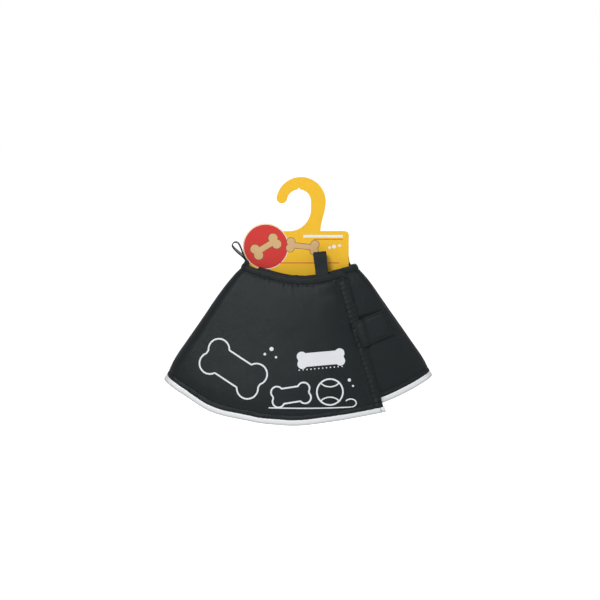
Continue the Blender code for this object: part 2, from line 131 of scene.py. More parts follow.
# Padded panel. The real one is a fan of thin foam between two layers of charcoal nylon, cut and
# quilted flat, then rolled into a cone. It is made here in the same order: sewn flat, blown up
# as cloth between its seams, and rolled up as a spiral round a flattened cone.
APEX = Vector((0.0035, 0.0, 0.0051))
FOLD_SLOPE = math.tan(math.radians(35.0))
BOW_SLOPE = math.tan(math.radians(8.0))
FOLD_ROUND = 0.070
OVAL_STEPS = 160
WRAP_PITCH = 0.0086
NECK_RADIUS = 0.1255
COLLAR_DEPTH = 0.200
NECK_SLIDE = 0.0035
HEM_SLIDE = 0.0110
NECK_DIP = 0.0060
NECK_DIP_SPREAD = math.radians(11.0)
CASING_WIDTH = 0.0095
HEM_TAPE_WIDTH = 0.0082
FLAP_EDGE = (math.radians(15.7), 0.0255)    # angle, and how far its line passes the apex
FLAP_SEAM = (math.radians(16.5), 0.0109)
FLAP_MARGIN = 0.0125
FLAP_CORNER = 0.0080
FLAP_PRESS = 0.0015
UNDERLAP_ANGLE = math.radians(23.0)
UNDERLAP_MISS = 0.0120
UNDERLAP_MARGIN = math.radians(2.6)
HEM_WAVES = (
    (-60, 0.0), (-38, 0.0038), (-30, 0.0044), (-22, 0.0076), (-12, 0.0032),
    (-4, 0.0014), (8, -0.0027), (14, -0.0024), (22, 0.0016),
)
SEWN_DEPTH = 0.0009         # half the cloth's thickness at a seam
OUTER_DEPTH = 0.0042        # and away from the seams, on its open face, before it is blown up
INNER_DEPTH = 0.0026
NECK_ROUND = 0.0130         # how softly the padding rises from each seam
HEM_ROUND = 0.0052
PUFF_PRESSURE = 4.0
PUFF_CAP = 0.0012
COVER_START = math.radians(-104.0)      # the underlap lies flatter where the flap covers it
COVER_END = math.radians(-117.0)
NECK_INSET = 0.0010         # how far the panel goes into the casing and into the hem tape
HEM_INSET = 0.0012
NECK_SEAM_SHARE = 0.012     # where the seams are, as shares down the panel
HEM_SEAM_SHARE = 0.963
EDGE_SEAM_SHARE = 0.16      # and as a share of the way from the flap's edge to its seam
HEM_BAND_RISE = 0.28        # how full the narrow bands beyond those seams are
EDGE_BAND_RISE = 0.24
NYLON_THREADS = 9000.0
FACE_WAVES = ((17.0, 0.0008), (60.0, 0.0002))   # scale and depth of the unevenness of its face
PUCKER_PITCH = 0.0066
PUCKER_DEPTH = 0.00072
PUCKER_REACH = 0.0048


def oval_directions():
    """Directions from the apex to the flattened cone, from the front centre to the left."""
    reach = FOLD_SLOPE - FOLD_ROUND
    face = (reach**2 + BOW_SLOPE**2 - FOLD_ROUND**2) / (2 * (BOW_SLOPE - FOLD_ROUND))
    face_turn = math.asin(reach / (face - FOLD_ROUND))
    quarter = []
    for i in range(OVAL_STEPS):
        turn = face_turn * i / OVAL_STEPS
        quarter.append((-face * math.sin(turn), face * (1 - math.cos(turn)) - BOW_SLOPE))
    for i in range(OVAL_STEPS + 1):
        turn = lerp(face_turn, math.pi / 2, i / OVAL_STEPS)
        quarter.append((-reach - FOLD_ROUND * math.sin(turn), -FOLD_ROUND * math.cos(turn)))
    points = quarter + [(x, -y) for x, y in reversed(quarter[:-1])]
    points += [(-x, -y) for x, y in quarter[1:]] + [(-x, y) for x, y in reversed(quarter[:-1])]
    return [Vector((x, y, -1.0)).normalized() for x, y in points]


DIRECTIONS = oval_directions()
ANGLES = [0.0]
for before, after in zip(DIRECTIONS, DIRECTIONS[1:]):
    ANGLES.append(ANGLES[-1] + before.angle(after))
FULL_TURN = ANGLES[-1]


def cone_point(radius, angle, height=0.0):
    """A point over the bare cone, at a height along its outward normal."""
    along = -angle % FULL_TURN
    i = min(len(ANGLES) - 1, max(1, bisect.bisect_right(ANGLES, along)))
    share = (along - ANGLES[i - 1]) / (ANGLES[i] - ANGLES[i - 1])
    direction = DIRECTIONS[i - 1].lerp(DIRECTIONS[i], share).normalized()
    normal = (DIRECTIONS[i] - DIRECTIONS[i - 1]).cross(direction).normalized()
    return APEX + direction * radius + normal * height


def layer_height(angle):
    """Middle of the rolled cloth above the bare cone."""
    return WRAP_PITCH * (0.5 + angle / FULL_TURN)


def rolled(radius, angle, height=0.0):
    """A point over the middle of the rolled cloth."""
    return cone_point(radius, angle, layer_height(angle) + height)


def neck_edge(angle):
    """Radius of the neck edge, which drops at each side fold."""
    from_fold = (angle / FULL_TURN * 2 + 1.0) % 1.0 - 0.5
    dip = math.exp(-((from_fold * FULL_TURN / 2 / NECK_DIP_SPREAD) ** 2))
    return NECK_RADIUS + NECK_SLIDE * angle / FULL_TURN + NECK_DIP * dip


def hem_edge(angle):
    """Radius of the hem, which hangs in a slow wave along the front."""
    drop = HEM_WAVES[0][1] if math.degrees(angle) < HEM_WAVES[0][0] else HEM_WAVES[-1][1]
    for (start, start_drop), (end, end_drop) in zip(HEM_WAVES, HEM_WAVES[1:]):
        if start <= math.degrees(angle) <= end:
            share = smooth_step((math.degrees(angle) - start) / (end - start))
            drop = lerp(start_drop, end_drop, share)
    return NECK_RADIUS + COLLAR_DEPTH + HEM_SLIDE * angle / FULL_TURN + drop


def line_angle(line, radius):
    """Angle of a straight line of the flat pattern at a radius."""
    return line["angle"] + math.asin(line["miss"] / radius)


def margin_line(share):
    """A line in or beside the flap's stitched margin: 0 at its edge and 1 at its seam."""
    from_corner = FLAP_CORNER - share * FLAP_MARGIN
    corner = 0.0
    if from_corner > 0.0:
        corner = FLAP_CORNER - math.sqrt(FLAP_CORNER**2 - min(from_corner, FLAP_CORNER * 0.995) ** 2)
    return {
        "angle": lerp(FLAP_EDGE[0], FLAP_SEAM[0], share),
        "miss": max(0.0, lerp(FLAP_EDGE[1], FLAP_SEAM[1], share)),
        "corner": corner,
        "fill": smooth_step((share - 1.0) / 0.8),
        "press": 1.0 - smooth_step((share - 1.0) / 0.8),
        "margin": share,
    }


def fan_lines(shares, step):
    """Lines of the flat pattern from the flap's edge to the underlap's end."""
    lines = [margin_line(share) for share in shares]
    start = FLAP_SEAM[0] * 0.62
    end = -FULL_TURN - UNDERLAP_ANGLE
    count = round((start - end) / step)
    for i in range(1, count + 1):
        angle = lerp(start, end, i / count)
        late = smooth_step(1.0 - (angle - end) / (UNDERLAP_MARGIN * 2))
        lines.append({
            "angle": angle, "miss": -UNDERLAP_MISS * late, "corner": 0.0, "press": 0.0,
            "fill": smooth_step((angle - end) / UNDERLAP_MARGIN), "margin": 99.0,
        })
    return lines


def neck_start(line):
    return neck_edge(line_angle(line, NECK_RADIUS)) + line["corner"]


def casing_end(line):
    return neck_start(line) + CASING_WIDTH


def hem_end(line):
    return hem_edge(line_angle(line, NECK_RADIUS + COLLAR_DEPTH))


def tape_start(line):
    return hem_end(line) - HEM_TAPE_WIDTH


def sewn_flat(line, radius, height):
    """A point of the flat pattern, in metres round the apex, as it lies on the cutting table."""
    angle = line_angle(line, radius)
    return Vector((radius * math.sin(angle), -radius * math.cos(angle), height))


def polar(place):
    """Radius and angle of a place on the flat pattern."""
    return place.xy.length, math.atan2(place.x, -place.y)


def map_flat(piece, flat, name="pattern"):
    """Keeps a flat place for each vertex in a UV map, in metres."""
    layer = piece.data.uv_layers.get(name) or piece.data.uv_layers.new(name=name)
    for loop in piece.data.loops:
        layer.data[loop.index].uv = flat[loop.vertex_index]


def lay_over(piece, height_at):
    """Lays a flat piece over the cone, at a height for each radius and angle."""
    flat = [vert.co.copy() for vert in piece.data.vertices]
    map_flat(piece, [place.xy for place in flat])
    for vert, place in zip(piece.data.vertices, flat):
        radius, angle = polar(place)
        vert.co = cone_point(radius, angle, height_at(radius, angle) + place.z)
    piece.data.update()


def roll_up(piece):
    """Rolls a flat piece into the cone."""
    lay_over(piece, lambda radius, angle: layer_height(angle))


def select_only(piece):
    bpy.ops.object.select_all(action="DESELECT")
    piece.select_set(True)
    bpy.context.view_layer.objects.active = piece


def apply_modifiers(piece):
    select_only(piece)
    for modifier in list(piece.modifiers):
        bpy.ops.object.modifier_apply(modifier=modifier.name)


def thicken(piece, thickness, **settings):
    """Gives a flat piece its thickness, on both sides of where it is unless the settings differ."""
    wall = piece.modifiers.new("wall", "SOLIDIFY")
    wall.thickness = thickness
    wall.offset = 0.0
    for name, value in settings.items():
        setattr(wall, name, value)
    apply_modifiers(piece)


def cover(piece, material):
    piece.data.shade_smooth()
    piece.data.materials.append(material)


def subdivide(piece):
    smoother = piece.modifiers.new("smooth", "SUBSURF")
    smoother.levels = smoother.render_levels = 1
    apply_modifiers(piece)


def new_grid(name, columns, rows):
    """A flat grid with one vertex for each column and row, and where each vertex belongs."""
    bpy.ops.object.select_all(action="DESELECT")
    bpy.ops.mesh.primitive_grid_add(x_subdivisions=columns - 1, y_subdivisions=rows - 1, size=1.0)
    piece = bpy.context.object
    piece.name = piece.data.name = name
    places = []
    for vert in piece.data.vertices:
        column = round((vert.co.x + 0.5) * (columns - 1))
        row = round((vert.co.y + 0.5) * (rows - 1))
        places.append((vert, column, row))
    return piece, places


def puff(piece, pressure, cap):
    """Blows up a sewn piece as cloth. No point ends further than cap from where it was sewn."""
    scene = bpy.context.scene
    sewn = [vert.co.copy() for vert in piece.data.vertices]
    select_only(piece)
    cloth = piece.modifiers.new("Cloth", "CLOTH")
    for name, value in {
        "quality": 5, "mass": 0.2, "tension_stiffness": 12.0, "compression_stiffness": 12.0,
        "shear_stiffness": 4.0, "bending_stiffness": 0.3, "use_pressure": True,
        "uniform_pressure_force": pressure, "vertex_group_mass": "sewn", "shrink_min": -0.02,
    }.items():
        setattr(cloth.settings, name, value)
    cloth.settings.effector_weights.gravity = 0.0
    cloth.collision_settings.use_collision = False
    for step in range(1, 21):
        scene.frame_set(step)
    bpy.ops.object.modifier_apply(modifier=cloth.name)
    scene.frame_set(1)
    for vert, start in zip(piece.data.vertices, sewn):
        move = vert.co - start
        vert.co = start + move * (cap / (cap + move.length))


def add_node(tree, kind, **values):
    """A shader node, with the values of its sockets by name, and of its settings."""
    node = tree.nodes.new(kind)
    for name, value in values.items():
        socket = name.replace("_", " ").title()
        if socket in node.inputs:
            node.inputs[socket].default_value = value
        else:
            setattr(node, name, value)
    return node


def feed(tree, socket, value):
    """Links a socket to another, or sets its plain value."""
    if isinstance(value, bpy.types.NodeSocket):
        tree.links.new(value, socket)
    elif value is not None:
        socket.default_value = value


def add_math(tree, operation, first, second=None, third=None):
    """A Math node between sockets and numbers. Gives its output."""
    node = add_node(tree, "ShaderNodeMath", operation=operation)
    for socket, value in zip(node.inputs, (first, second, third)):
        feed(tree, socket, value)
    return node.outputs[0]


def add_mix(tree, share, first, second, blend="MIX"):
    """A mix of two colours. Gives its output."""
    node = add_node(tree, "ShaderNodeMix", data_type="RGBA", blend_type=blend)
    feed(tree, node.inputs["Factor"], share)
    feed(tree, node.inputs[6], first)
    feed(tree, node.inputs[7], second)
    return node.outputs[2]


def add_noise(tree, place, **values):
    node = add_node(tree, "ShaderNodeTexNoise", **values)
    tree.links.new(place, node.inputs["Vector"])
    return node.outputs[0]


def add_relief(tree, shader, height, strength, distance):
    node = add_node(tree, "ShaderNodeBump", strength=strength, distance=distance)
    tree.links.new(height, node.inputs["Height"])
    tree.links.new(node.outputs[0], shader.inputs["Normal"])


def new_group(name, inputs, outputs):
    """A shader node group. inputs are (name, type, value) and outputs (name, type)."""
    group = bpy.data.node_groups.new(name, "ShaderNodeTree")
    for label, kind, value in inputs:
        socket = group.interface.new_socket(label, in_out="INPUT", socket_type=kind)
        socket.default_value = value
    for label, kind in outputs:
        group.interface.new_socket(label, in_out="OUTPUT", socket_type=kind)
    return group, group.nodes.new("NodeGroupInput"), group.nodes.new("NodeGroupOutput")


def make_weave_group():
    """Plain weave: threads that pass over and under each other, with uneven dye and lint."""
    group, given, made = new_group(
        "plain weave",
        [("Place", "NodeSocketVector", (0, 0, 0)), ("Threads", "NodeSocketFloat", 1600.0),
         ("Colour", "NodeSocketColor", (0.03, 0.04, 0.04, 1)),
         ("Unevenness", "NodeSocketFloat", 0.25), ("Roughness", "NodeSocketFloat", 0.6)],
        [("Height", "NodeSocketFloat"), ("Colour", "NodeSocketColor"),
         ("Roughness", "NodeSocketFloat")],
    )
    calc, link = partial(add_math, group), group.links.new
    place, threads = given.outputs["Place"], given.outputs["Threads"]
    apart = add_node(group, "ShaderNodeSeparateXYZ")
    link(place, apart.inputs[0])
    across = calc("MULTIPLY", apart.outputs[0], threads)
    along = calc("MULTIPLY", apart.outputs[1], threads)
    link(calc("MULTIPLY", calc("SINE", across), calc("SINE", along)), made.inputs["Height"])
    cloud = add_noise(group, place, scale=22.0, detail=4.0, roughness=0.6)
    lint = add_noise(group, place, scale=900.0, detail=2.0)
    mixed = calc("MULTIPLY_ADD", cloud, 1.4, -0.7)
    mixed = calc("MULTIPLY_ADD", lint, 0.5, calc("ADD", mixed, -0.25))
    tint = calc("MULTIPLY_ADD", mixed, given.outputs["Unevenness"], 1.0)
    grey = add_node(group, "ShaderNodeCombineXYZ")
    for socket in grey.inputs:
        link(tint, socket)
    dyed = add_mix(group, 1.0, given.outputs["Colour"], grey.outputs[0], "MULTIPLY")
    link(dyed, made.inputs["Colour"])
    rough = calc("MULTIPLY_ADD", mixed, 0.12, given.outputs["Roughness"])
    link(rough, made.inputs["Roughness"])
    return group


plain_weave = make_weave_group()


def make_cloth_material(name, colour, threads, roughness, bump, unevenness=0.25, sheen=0.03):
    """Woven cloth that follows the piece's flat pattern. bump is how strongly its threads stand out."""
    material, tree, shader = new_material(name, {
        "Sheen Weight": sheen, "Sheen Roughness": 0.45, "Specular IOR Level": 0.28,
    })
    place = add_node(tree, "ShaderNodeUVMap", uv_map="pattern")
    weave = add_node(tree, "ShaderNodeGroup", node_tree=plain_weave, threads=threads,
                     colour=(*colour, 1.0), unevenness=unevenness, roughness=roughness)
    tree.links.new(place.outputs[0], weave.inputs["Place"])
    tree.links.new(weave.outputs["Colour"], shader.inputs["Base Color"])
    tree.links.new(weave.outputs["Roughness"], shader.inputs["Roughness"])
    add_relief(tree, shader, weave.outputs["Height"], bump, 0.0002)
    return material


margin_shares = [0.0, 0.03, 0.08, EDGE_SEAM_SHARE, 0.27, 0.4, 0.52, 0.64, 0.76, 0.88]
margin_shares += [1.0, 1.12, 1.28, 1.5, 1.8]
panel_lines = fan_lines(margin_shares, math.radians(0.80))
panel_rows = [0.0, 0.012, 0.026, 0.042, 0.060]
panel_rows += [lerp(0.060, 0.900, (i + 1) / 36) for i in range(36)]
panel_rows += [0.915, 0.930, 0.943, 0.954, HEM_SEAM_SHARE, 0.971, 0.980, 0.990, 1.0]
HEM_SEAM_ROW = panel_rows.index(HEM_SEAM_SHARE)
panel, places = new_grid("collar_panel", len(panel_lines), len(panel_rows))
fill = panel.vertex_groups.new(name="fill")
sewn = panel.vertex_groups.new(name="sewn")
thickest = OUTER_DEPTH + INNER_DEPTH
for vert, column, row in places:
    line, share = panel_lines[column], panel_rows[row]
    start, end = casing_end(line) - NECK_INSET, tape_start(line) + HEM_INSET
    radius = lerp(start, end, share)
    angle = line_angle(line, radius)
    from_hem = (HEM_SEAM_SHARE - share) * (end - start)
    rise = 1.0 - math.exp(-share * (end - start) / NECK_ROUND)
    rise *= 1.0 - math.exp(-max(0.0, from_hem) / HEM_ROUND)
    rise *= line["fill"]
    if from_hem < 0.0:
        band = (share - HEM_SEAM_SHARE) / (1.0 - HEM_SEAM_SHARE)
        rise = HEM_BAND_RISE * math.sin(math.pi * band)
    if line["margin"] < 1.0:
        band = max(0.0, (line["margin"] - EDGE_SEAM_SHARE) / (1.0 - EDGE_SEAM_SHARE))
        rise = max(rise, EDGE_BAND_RISE * math.sin(math.pi * min(1.0, band)))
    covered = smooth_step((COVER_START - angle) / (COVER_START - COVER_END))
    outer = lerp(SEWN_DEPTH, lerp(OUTER_DEPTH, INNER_DEPTH, covered), rise)
    inner = lerp(SEWN_DEPTH, INNER_DEPTH, rise)
    vert.co = sewn_flat(line, radius, (outer - inner) / 2 - FLAP_PRESS * line["press"])
    weight = ((outer + inner) - 2 * SEWN_DEPTH) / (thickest - 2 * SEWN_DEPTH)
    fill.add([vert.index], weight, "REPLACE")
    stitched = row in (0, HEM_SEAM_ROW, len(panel_rows) - 1) and column % 2 == 0
    stitched = stitched or (line["margin"] in (EDGE_SEAM_SHARE, 1.0) and row % 2 == 0)
    stitched = stitched or column in (0, len(panel_lines) - 1) or row == len(panel_rows) - 1
    sewn.add([vert.index], 1.0 if stitched else 0.0, "REPLACE")
thicken(panel, thickest, vertex_group="fill", thickness_vertex_group=2 * SEWN_DEPTH / thickest)
puff(panel, PUFF_PRESSURE, PUFF_CAP)
subdivide(panel)


def pucker(run, away, seed):
    """Height of the gathers beside a row of stitches, at a distance from it."""
    drift = 2.2 * noise.noise(Vector((run * 45.0, seed, 0.0)))
    wave = math.cos(2 * math.pi * run / PUCKER_PITCH + drift)
    strength = 0.6 + 0.9 * noise.noise(Vector((run * 30.0, seed, 7.0)))
    return PUCKER_DEPTH * wave * strength * math.exp(-abs(away) / PUCKER_REACH)


panel.data.update()
facing = [math.copysign(1.0, vert.normal.z) for vert in panel.data.vertices]
for vert, side in zip(panel.data.vertices, facing):
    spot = vert.co.xy.to_3d()
    radius, angle = polar(spot)
    start = neck_edge(angle) + CASING_WIDTH
    hem_seam = lerp(start, hem_edge(angle) - HEM_TAPE_WIDTH + HEM_INSET, HEM_SEAM_SHARE)
    soft = sum(noise.noise(spot * scale) * depth for scale, depth in FACE_WAVES)
    from_flap = [radius * math.sin(angle - turn) - miss for turn, miss in (FLAP_SEAM, FLAP_EDGE)]
    gathers = pucker(angle * radius, radius - start, 1.0)
    gathers += pucker(angle * radius, radius - hem_seam, 2.0)
    if abs(from_flap[0]) < 4 * PUCKER_REACH:
        gathers += pucker(radius, from_flap[0], 3.0)
        gathers += pucker(radius, from_flap[1] + EDGE_SEAM_SHARE * FLAP_MARGIN, 4.0) * 0.8
    vert.co.z += soft + gathers * side
panel_faces = BVHTree.FromObject(panel, bpy.context.evaluated_depsgraph_get())
roll_up(panel)
cover(panel, make_cloth_material(
    "charcoal_nylon", (0.0070, 0.0115, 0.0135), NYLON_THREADS, 0.42, 0.25
))
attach(panel, "root")
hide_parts("padded_panel")

# Neck casing. A strip of the same nylon folded double over the neck edge and gathered by its
# stitches, so its top is round and lumpy and its seam puckers.
CASING_THICKNESS = 0.0050
GATHER_DEPTH = 0.00110
LUMP_SCALE = 150.0
FINE_SCALE = 420.0
LUMP_RISE = 0.0006


def strip_profile(steps, thin):
    """Round section of a folded strip: share down its width, and height from -1 to 1."""
    section = []
    for i in range(steps):
        turn = 2 * math.pi * i / steps
        share = 0.5 - 0.5 * math.cos(turn)
        full = abs(math.sin(turn)) ** 0.55
        section.append((share, math.copysign(full * lerp(1.0, thin, share**2), math.sin(turn))))
    return section


def make_strip(name, lines, section, start, width, thickness):
    """A closed strip along the fan, with its round section between two radii."""
    piece, places = new_grid(name, len(lines), len(section) + 1)
    for vert, column, row in places:
        line = lines[column]
        share, height = section[row % len(section)]
        height = height * thickness / 2 - FLAP_PRESS * line["press"]
        vert.co = sewn_flat(line, start(line) + share * width, height)
    bpy.ops.object.mode_set(mode="EDIT")
    bpy.ops.mesh.select_all(action="SELECT")
    bpy.ops.mesh.remove_doubles(threshold=0.000001)
    bpy.ops.mesh.select_all(action="DESELECT")
    bpy.ops.mesh.select_non_manifold()
    bpy.ops.mesh.edge_face_add()
    bpy.ops.mesh.select_all(action="SELECT")
    bpy.ops.mesh.normals_make_consistent(inside=False)
    bpy.ops.object.mode_set(mode="OBJECT")
    return piece


casing_lines = fan_lines([0.0, 0.02, 0.05, 0.09, 0.14, 0.2, 0.27, 0.35, 0.45, 0.55, 0.65, 0.75,
                          0.86, 0.98, 1.1, 1.24, 1.4, 1.6], math.radians(0.62))
casing = make_strip(
    "neck_casing", casing_lines, strip_profile(22, 0.55), neck_start, CASING_WIDTH, CASING_THICKNESS
)
for vert in casing.data.vertices:
    radius, angle = polar(vert.co)
    run = angle * NECK_RADIUS
    down = (radius - neck_edge(angle)) / CASING_WIDTH
    lump = noise.noise(Vector((run * LUMP_SCALE, down * 0.7, 3.0)))
    fine = noise.noise(Vector((run * FINE_SCALE, down * 0.9, 8.0)))
    pull = (lump + fine * 0.5) * GATHER_DEPTH * (0.5 + smooth_step(down))
    vert.co.z += math.copysign(pull, vert.co.z)
    outward = 1.0 + (lump * LUMP_RISE * (1.0 - smooth_step(down * 2))) / radius
    vert.co.xy = vert.co.xy * outward
roll_up(casing)
subdivide(casing)
cover(casing, make_cloth_material(
    "casing_nylon", (0.0080, 0.0120, 0.0140), NYLON_THREADS, 0.55, 0.25
))
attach(casing, "root")
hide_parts("neck_binding")

# Reflective hem tape. Silver-white ribbed tape folded over the hem and stitched through. It runs
# a little past the flap's edge, where it ends in a plain cut.
HEM_TAPE_THICKNESS = 0.0026
TAPE_OVERHANG = 0.20
RIB_PITCH = 0.0011
TAPE_SILVER = (0.86, 0.88, 0.89, 1.0)
# The grey below is painted shade, mixed in over the lower part of the tape towards its fold at the hem.
TAPE_PAINTED_SHADE = (0.42, 0.45, 0.47, 1.0)


def make_tape_material():
    """Silver-white tape with fine ribs across it, with painted shade that greys its lower part towards
    its fold.
    """
    material, tree, shader = new_material("reflective_tape", {"Metallic": 0.15})
    calc, link = partial(add_math, tree), tree.links.new
    place = add_node(tree, "ShaderNodeUVMap", uv_map="run")
    apart = add_node(tree, "ShaderNodeSeparateXYZ")
    link(place.outputs[0], apart.inputs[0])
    ribs = calc("SINE", calc("MULTIPLY", apart.outputs[0], 2 * math.pi / RIB_PITCH))
    speck = add_noise(tree, place.outputs[0], scale=420.0, detail=3.0)
    # Painted shade: the lower part of the tape's width, towards its fold, is mixed towards grey, varied
    # by the specks.
    lower_shade = add_node(tree, "ShaderNodeMapRange", from_min=0.55, from_max=1.0)
    link(apart.outputs[1], lower_shade.inputs[0])
    painted_shade = calc("MULTIPLY", lower_shade.outputs[0], calc("ADD", speck, 0.35))
    link(add_mix(tree, painted_shade, TAPE_SILVER, TAPE_PAINTED_SHADE), shader.inputs["Base Color"])
    link(calc("MULTIPLY_ADD", speck, 0.2, 0.32), shader.inputs["Roughness"])
    add_relief(tree, shader, ribs, 0.35, 0.00015)
    return material


tape_lines = fan_lines([-TAPE_OVERHANG, -0.1, 0.0, 0.12, 0.25, 0.4, 0.55, 0.7, 0.85, 1.0, 1.2, 1.45],
                       math.radians(0.7))
tape = make_strip(
    "hem_tape", tape_lines, strip_profile(14, 1.0), tape_start, HEM_TAPE_WIDTH, HEM_TAPE_THICKNESS
)
runs = []
for vert in tape.data.vertices:
    radius, angle = polar(vert.co)
    run = angle * (NECK_RADIUS + COLLAR_DEPTH)
    runs.append((run, (radius - hem_edge(angle)) / HEM_TAPE_WIDTH + 1.0))
    vert.co.z += noise.noise(Vector((run * 60.0, 0.0, 5.0))) * 0.0004
map_flat(tape, runs, "run")
tape_faces = BVHTree.FromObject(tape, bpy.context.evaluated_depsgraph_get())
roll_up(tape)
subdivide(tape)
cover(tape, make_tape_material())
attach(tape, "root")
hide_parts("hem_binding")

# Closure tab. A small padded rectangle of the same nylon, sewn down on the flap's margin and
# stitched all round. Its free half reaches over the underlap and grips the patch below it.
TAB_SIZE = (0.0470, 0.0370)
TAB_THICKNESS = 0.0032
TAB_SPOT = (0.2175, math.radians(26.6), math.radians(22.5))     # radius, angle, turn
TAB_STEP = (0.0010, 0.0075)     # where it starts and ends to step down, past the flap's edge
TAB_PUFF_CAP = 0.0004
TAB_SEAM_SHARE = 0.30           # its thickness at its stitches, as a share
PATCH_SIZE = (0.0400, 0.0340)
PATCH_THICKNESS = 0.0012
PATCH_SPOT = (0.2125, math.radians(26.7), math.radians(14.0))
MARGIN_DEPTH = 0.0014       # half the thickness of the flap's margin below the tab
GAP = 0.0003
UNDERLAP_FOAM = 0.0070


def laid_flat(spot, size, across, down):
    """Place on the pattern of a point of a rectangle, with shares from its top left corner."""
    radius, angle, turn = spot
    centre = Vector((radius * math.sin(angle), -radius * math.cos(angle)))
    side = Vector((math.cos(turn), math.sin(turn)))
    fall = Vector((math.sin(turn), -math.cos(turn)))
    return centre + side * size[0] * (across - 0.5) + fall * size[1] * (down - 0.5)


def patch_height(angle):
    """Middle of the patch above the bare cone, on the face of the layer below the flap."""
    return layer_height(angle - FULL_TURN) + UNDERLAP_FOAM / 2 + GAP + PATCH_THICKNESS / 2


def tab_height(radius, angle):
    """Middle of the tab: it lies on the flap's margin, then steps down on to the patch."""
    edge = FLAP_EDGE[0] + math.asin(FLAP_EDGE[1] / radius)
    past_edge = (angle - edge) * radius
    high = layer_height(edge) - FLAP_PRESS + MARGIN_DEPTH + 2 * GAP
    low = patch_height(angle) + PATCH_THICKNESS / 2 + GAP
    step = smooth_step((past_edge - TAB_STEP[0]) / (TAB_STEP[1] - TAB_STEP[0]))
    return lerp(high, low, step) + TAB_THICKNESS / 2


TAB_COLUMNS, TAB_ROWS = 41, 33
TAB_SEAM = 2
tab, places = new_grid("closure_tab_pad", TAB_COLUMNS, TAB_ROWS)
fill = tab.vertex_groups.new(name="fill")
sewn = tab.vertex_groups.new(name="sewn")
for vert, column, row in places:
    vert.co.xy = laid_flat(TAB_SPOT, TAB_SIZE, column / (TAB_COLUMNS - 1), row / (TAB_ROWS - 1))
    rim = min(column, row, TAB_COLUMNS - 1 - column, TAB_ROWS - 1 - row)
    full = smooth_step((rim - TAB_SEAM) / 4) if rim > TAB_SEAM else 0.25 * rim
    fill.add([vert.index], full, "REPLACE")
    sewn.add([vert.index], 1.0 if rim in (0, TAB_SEAM) else 0.0, "REPLACE")
thicken(tab, TAB_THICKNESS, vertex_group="fill", thickness_vertex_group=TAB_SEAM_SHARE)
puff(tab, PUFF_PRESSURE, TAB_PUFF_CAP)
tab_faces = BVHTree.FromObject(tab, bpy.context.evaluated_depsgraph_get())
lay_over(tab, tab_height)
subdivide(tab)
cover(tab, make_cloth_material(
    "tab_nylon", (0.0090, 0.0130, 0.0150), NYLON_THREADS, 0.52, 0.25
))
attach(tab, "root")
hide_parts("closure_tab")

# Closure patch. A piece of black hook-and-loop tape sewn on the underlap, with a dense brushed
# face. Only a strip of it shows above the tab.
PATCH_CELLS = 24


def make_slab(piece, thickness, trim):
    """Gives a flat tape its thickness and softly trimmed edges."""
    thicken(piece, thickness)
    edge = piece.modifiers.new("edge", "BEVEL")
    edge.width = trim
    edge.segments = 2
    apply_modifiers(piece)


patch, places = new_grid("closure_patch_tape", PATCH_CELLS + 1, PATCH_CELLS + 1)
for vert, column, row in places:
    vert.co.xy = laid_flat(PATCH_SPOT, PATCH_SIZE, column / PATCH_CELLS, row / PATCH_CELLS)
make_slab(patch, PATCH_THICKNESS, 0.00035)
for vert in patch.data.vertices:
    if vert.co.z > 0.0:
        vert.co.z += noise.noise(vert.co * 900.0) * 0.00008
lay_over(patch, lambda radius, angle: patch_height(angle))
cover(patch, make_cloth_material(
    "hook_tape", (0.0075, 0.0090, 0.0100), 2600.0, 0.92, 0.9, 0.6, 0.1
))
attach(patch, "root")
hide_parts("closure_patch")

# Neck loops. Flat woven tape folded double, with both ends caught in the top of the casing. One
# stands in front of the card, one leans out from the left fold and one stands at the back.
LOOP_LENGTH = 0.0320
LOOP_WIDTH = 0.0173
LOOP_TAPE = 0.0012
LOOP_GAP = 0.0085
LOOP_ROOT = 0.0045
LOOP_BEND = 0.0040
LOOP_FLATTEN = 0.0090
LOOP_SINK = 0.0016          # how far the tape goes into the casing
LOOP_CELLS = 12             # across its width
LOOPS = (
    ("loop_front", "neck_loop_front", math.radians(12.8), 0.0, math.radians(-9), math.radians(-7), 0.0),
    ("loop_side", "neck_loop_side", -FULL_TURN / 4, 0.0010, math.radians(69), 0.0, 0.0),
    ("loop_back", "neck_loop_back", -FULL_TURN / 2 - math.radians(28.5), 0.0, math.radians(26),
     math.radians(18), math.radians(20)),
)


def run_along(points):
    """How far along a line each of its points is."""
    run = [0.0]
    for before, after in zip(points, points[1:]):
        run.append(run[-1] + (after - before).length)
    return run


def tape_path(lean):
    """Middle line of the folded tape, as outward and upward steps from foot to foot."""
    steps = 72
    round_radius = (LOOP_GAP + LOOP_TAPE) / 2
    straight = LOOP_LENGTH - round_radius
    step = straight / steps
    middle = Vector((0.0, 0.0))
    up_leg, down_leg = [], []
    for i in range(steps + 1):
        along = i * step
        tilt = lean * smooth_step(along / LOOP_BEND)
        forward = Vector((math.sin(tilt), math.cos(tilt)))
        side = Vector((math.cos(tilt), -math.sin(tilt)))
        if i % 4 == 0:
            opened = smooth_step((along - LOOP_ROOT) / (straight - LOOP_ROOT))
            half = lerp((LOOP_TAPE + GAP) / 2, round_radius, opened)
            up_leg.append(middle - side * half)
            down_leg.append(middle + side * half)
        middle += forward * step
    top = middle - forward * step
    crest = []
    for i in range(1, 16):
        turn = math.pi * i / 16
        crest.append(top + (forward * math.sin(turn) - side * math.cos(turn)) * round_radius)
    return up_leg + crest + down_leg[::-1]


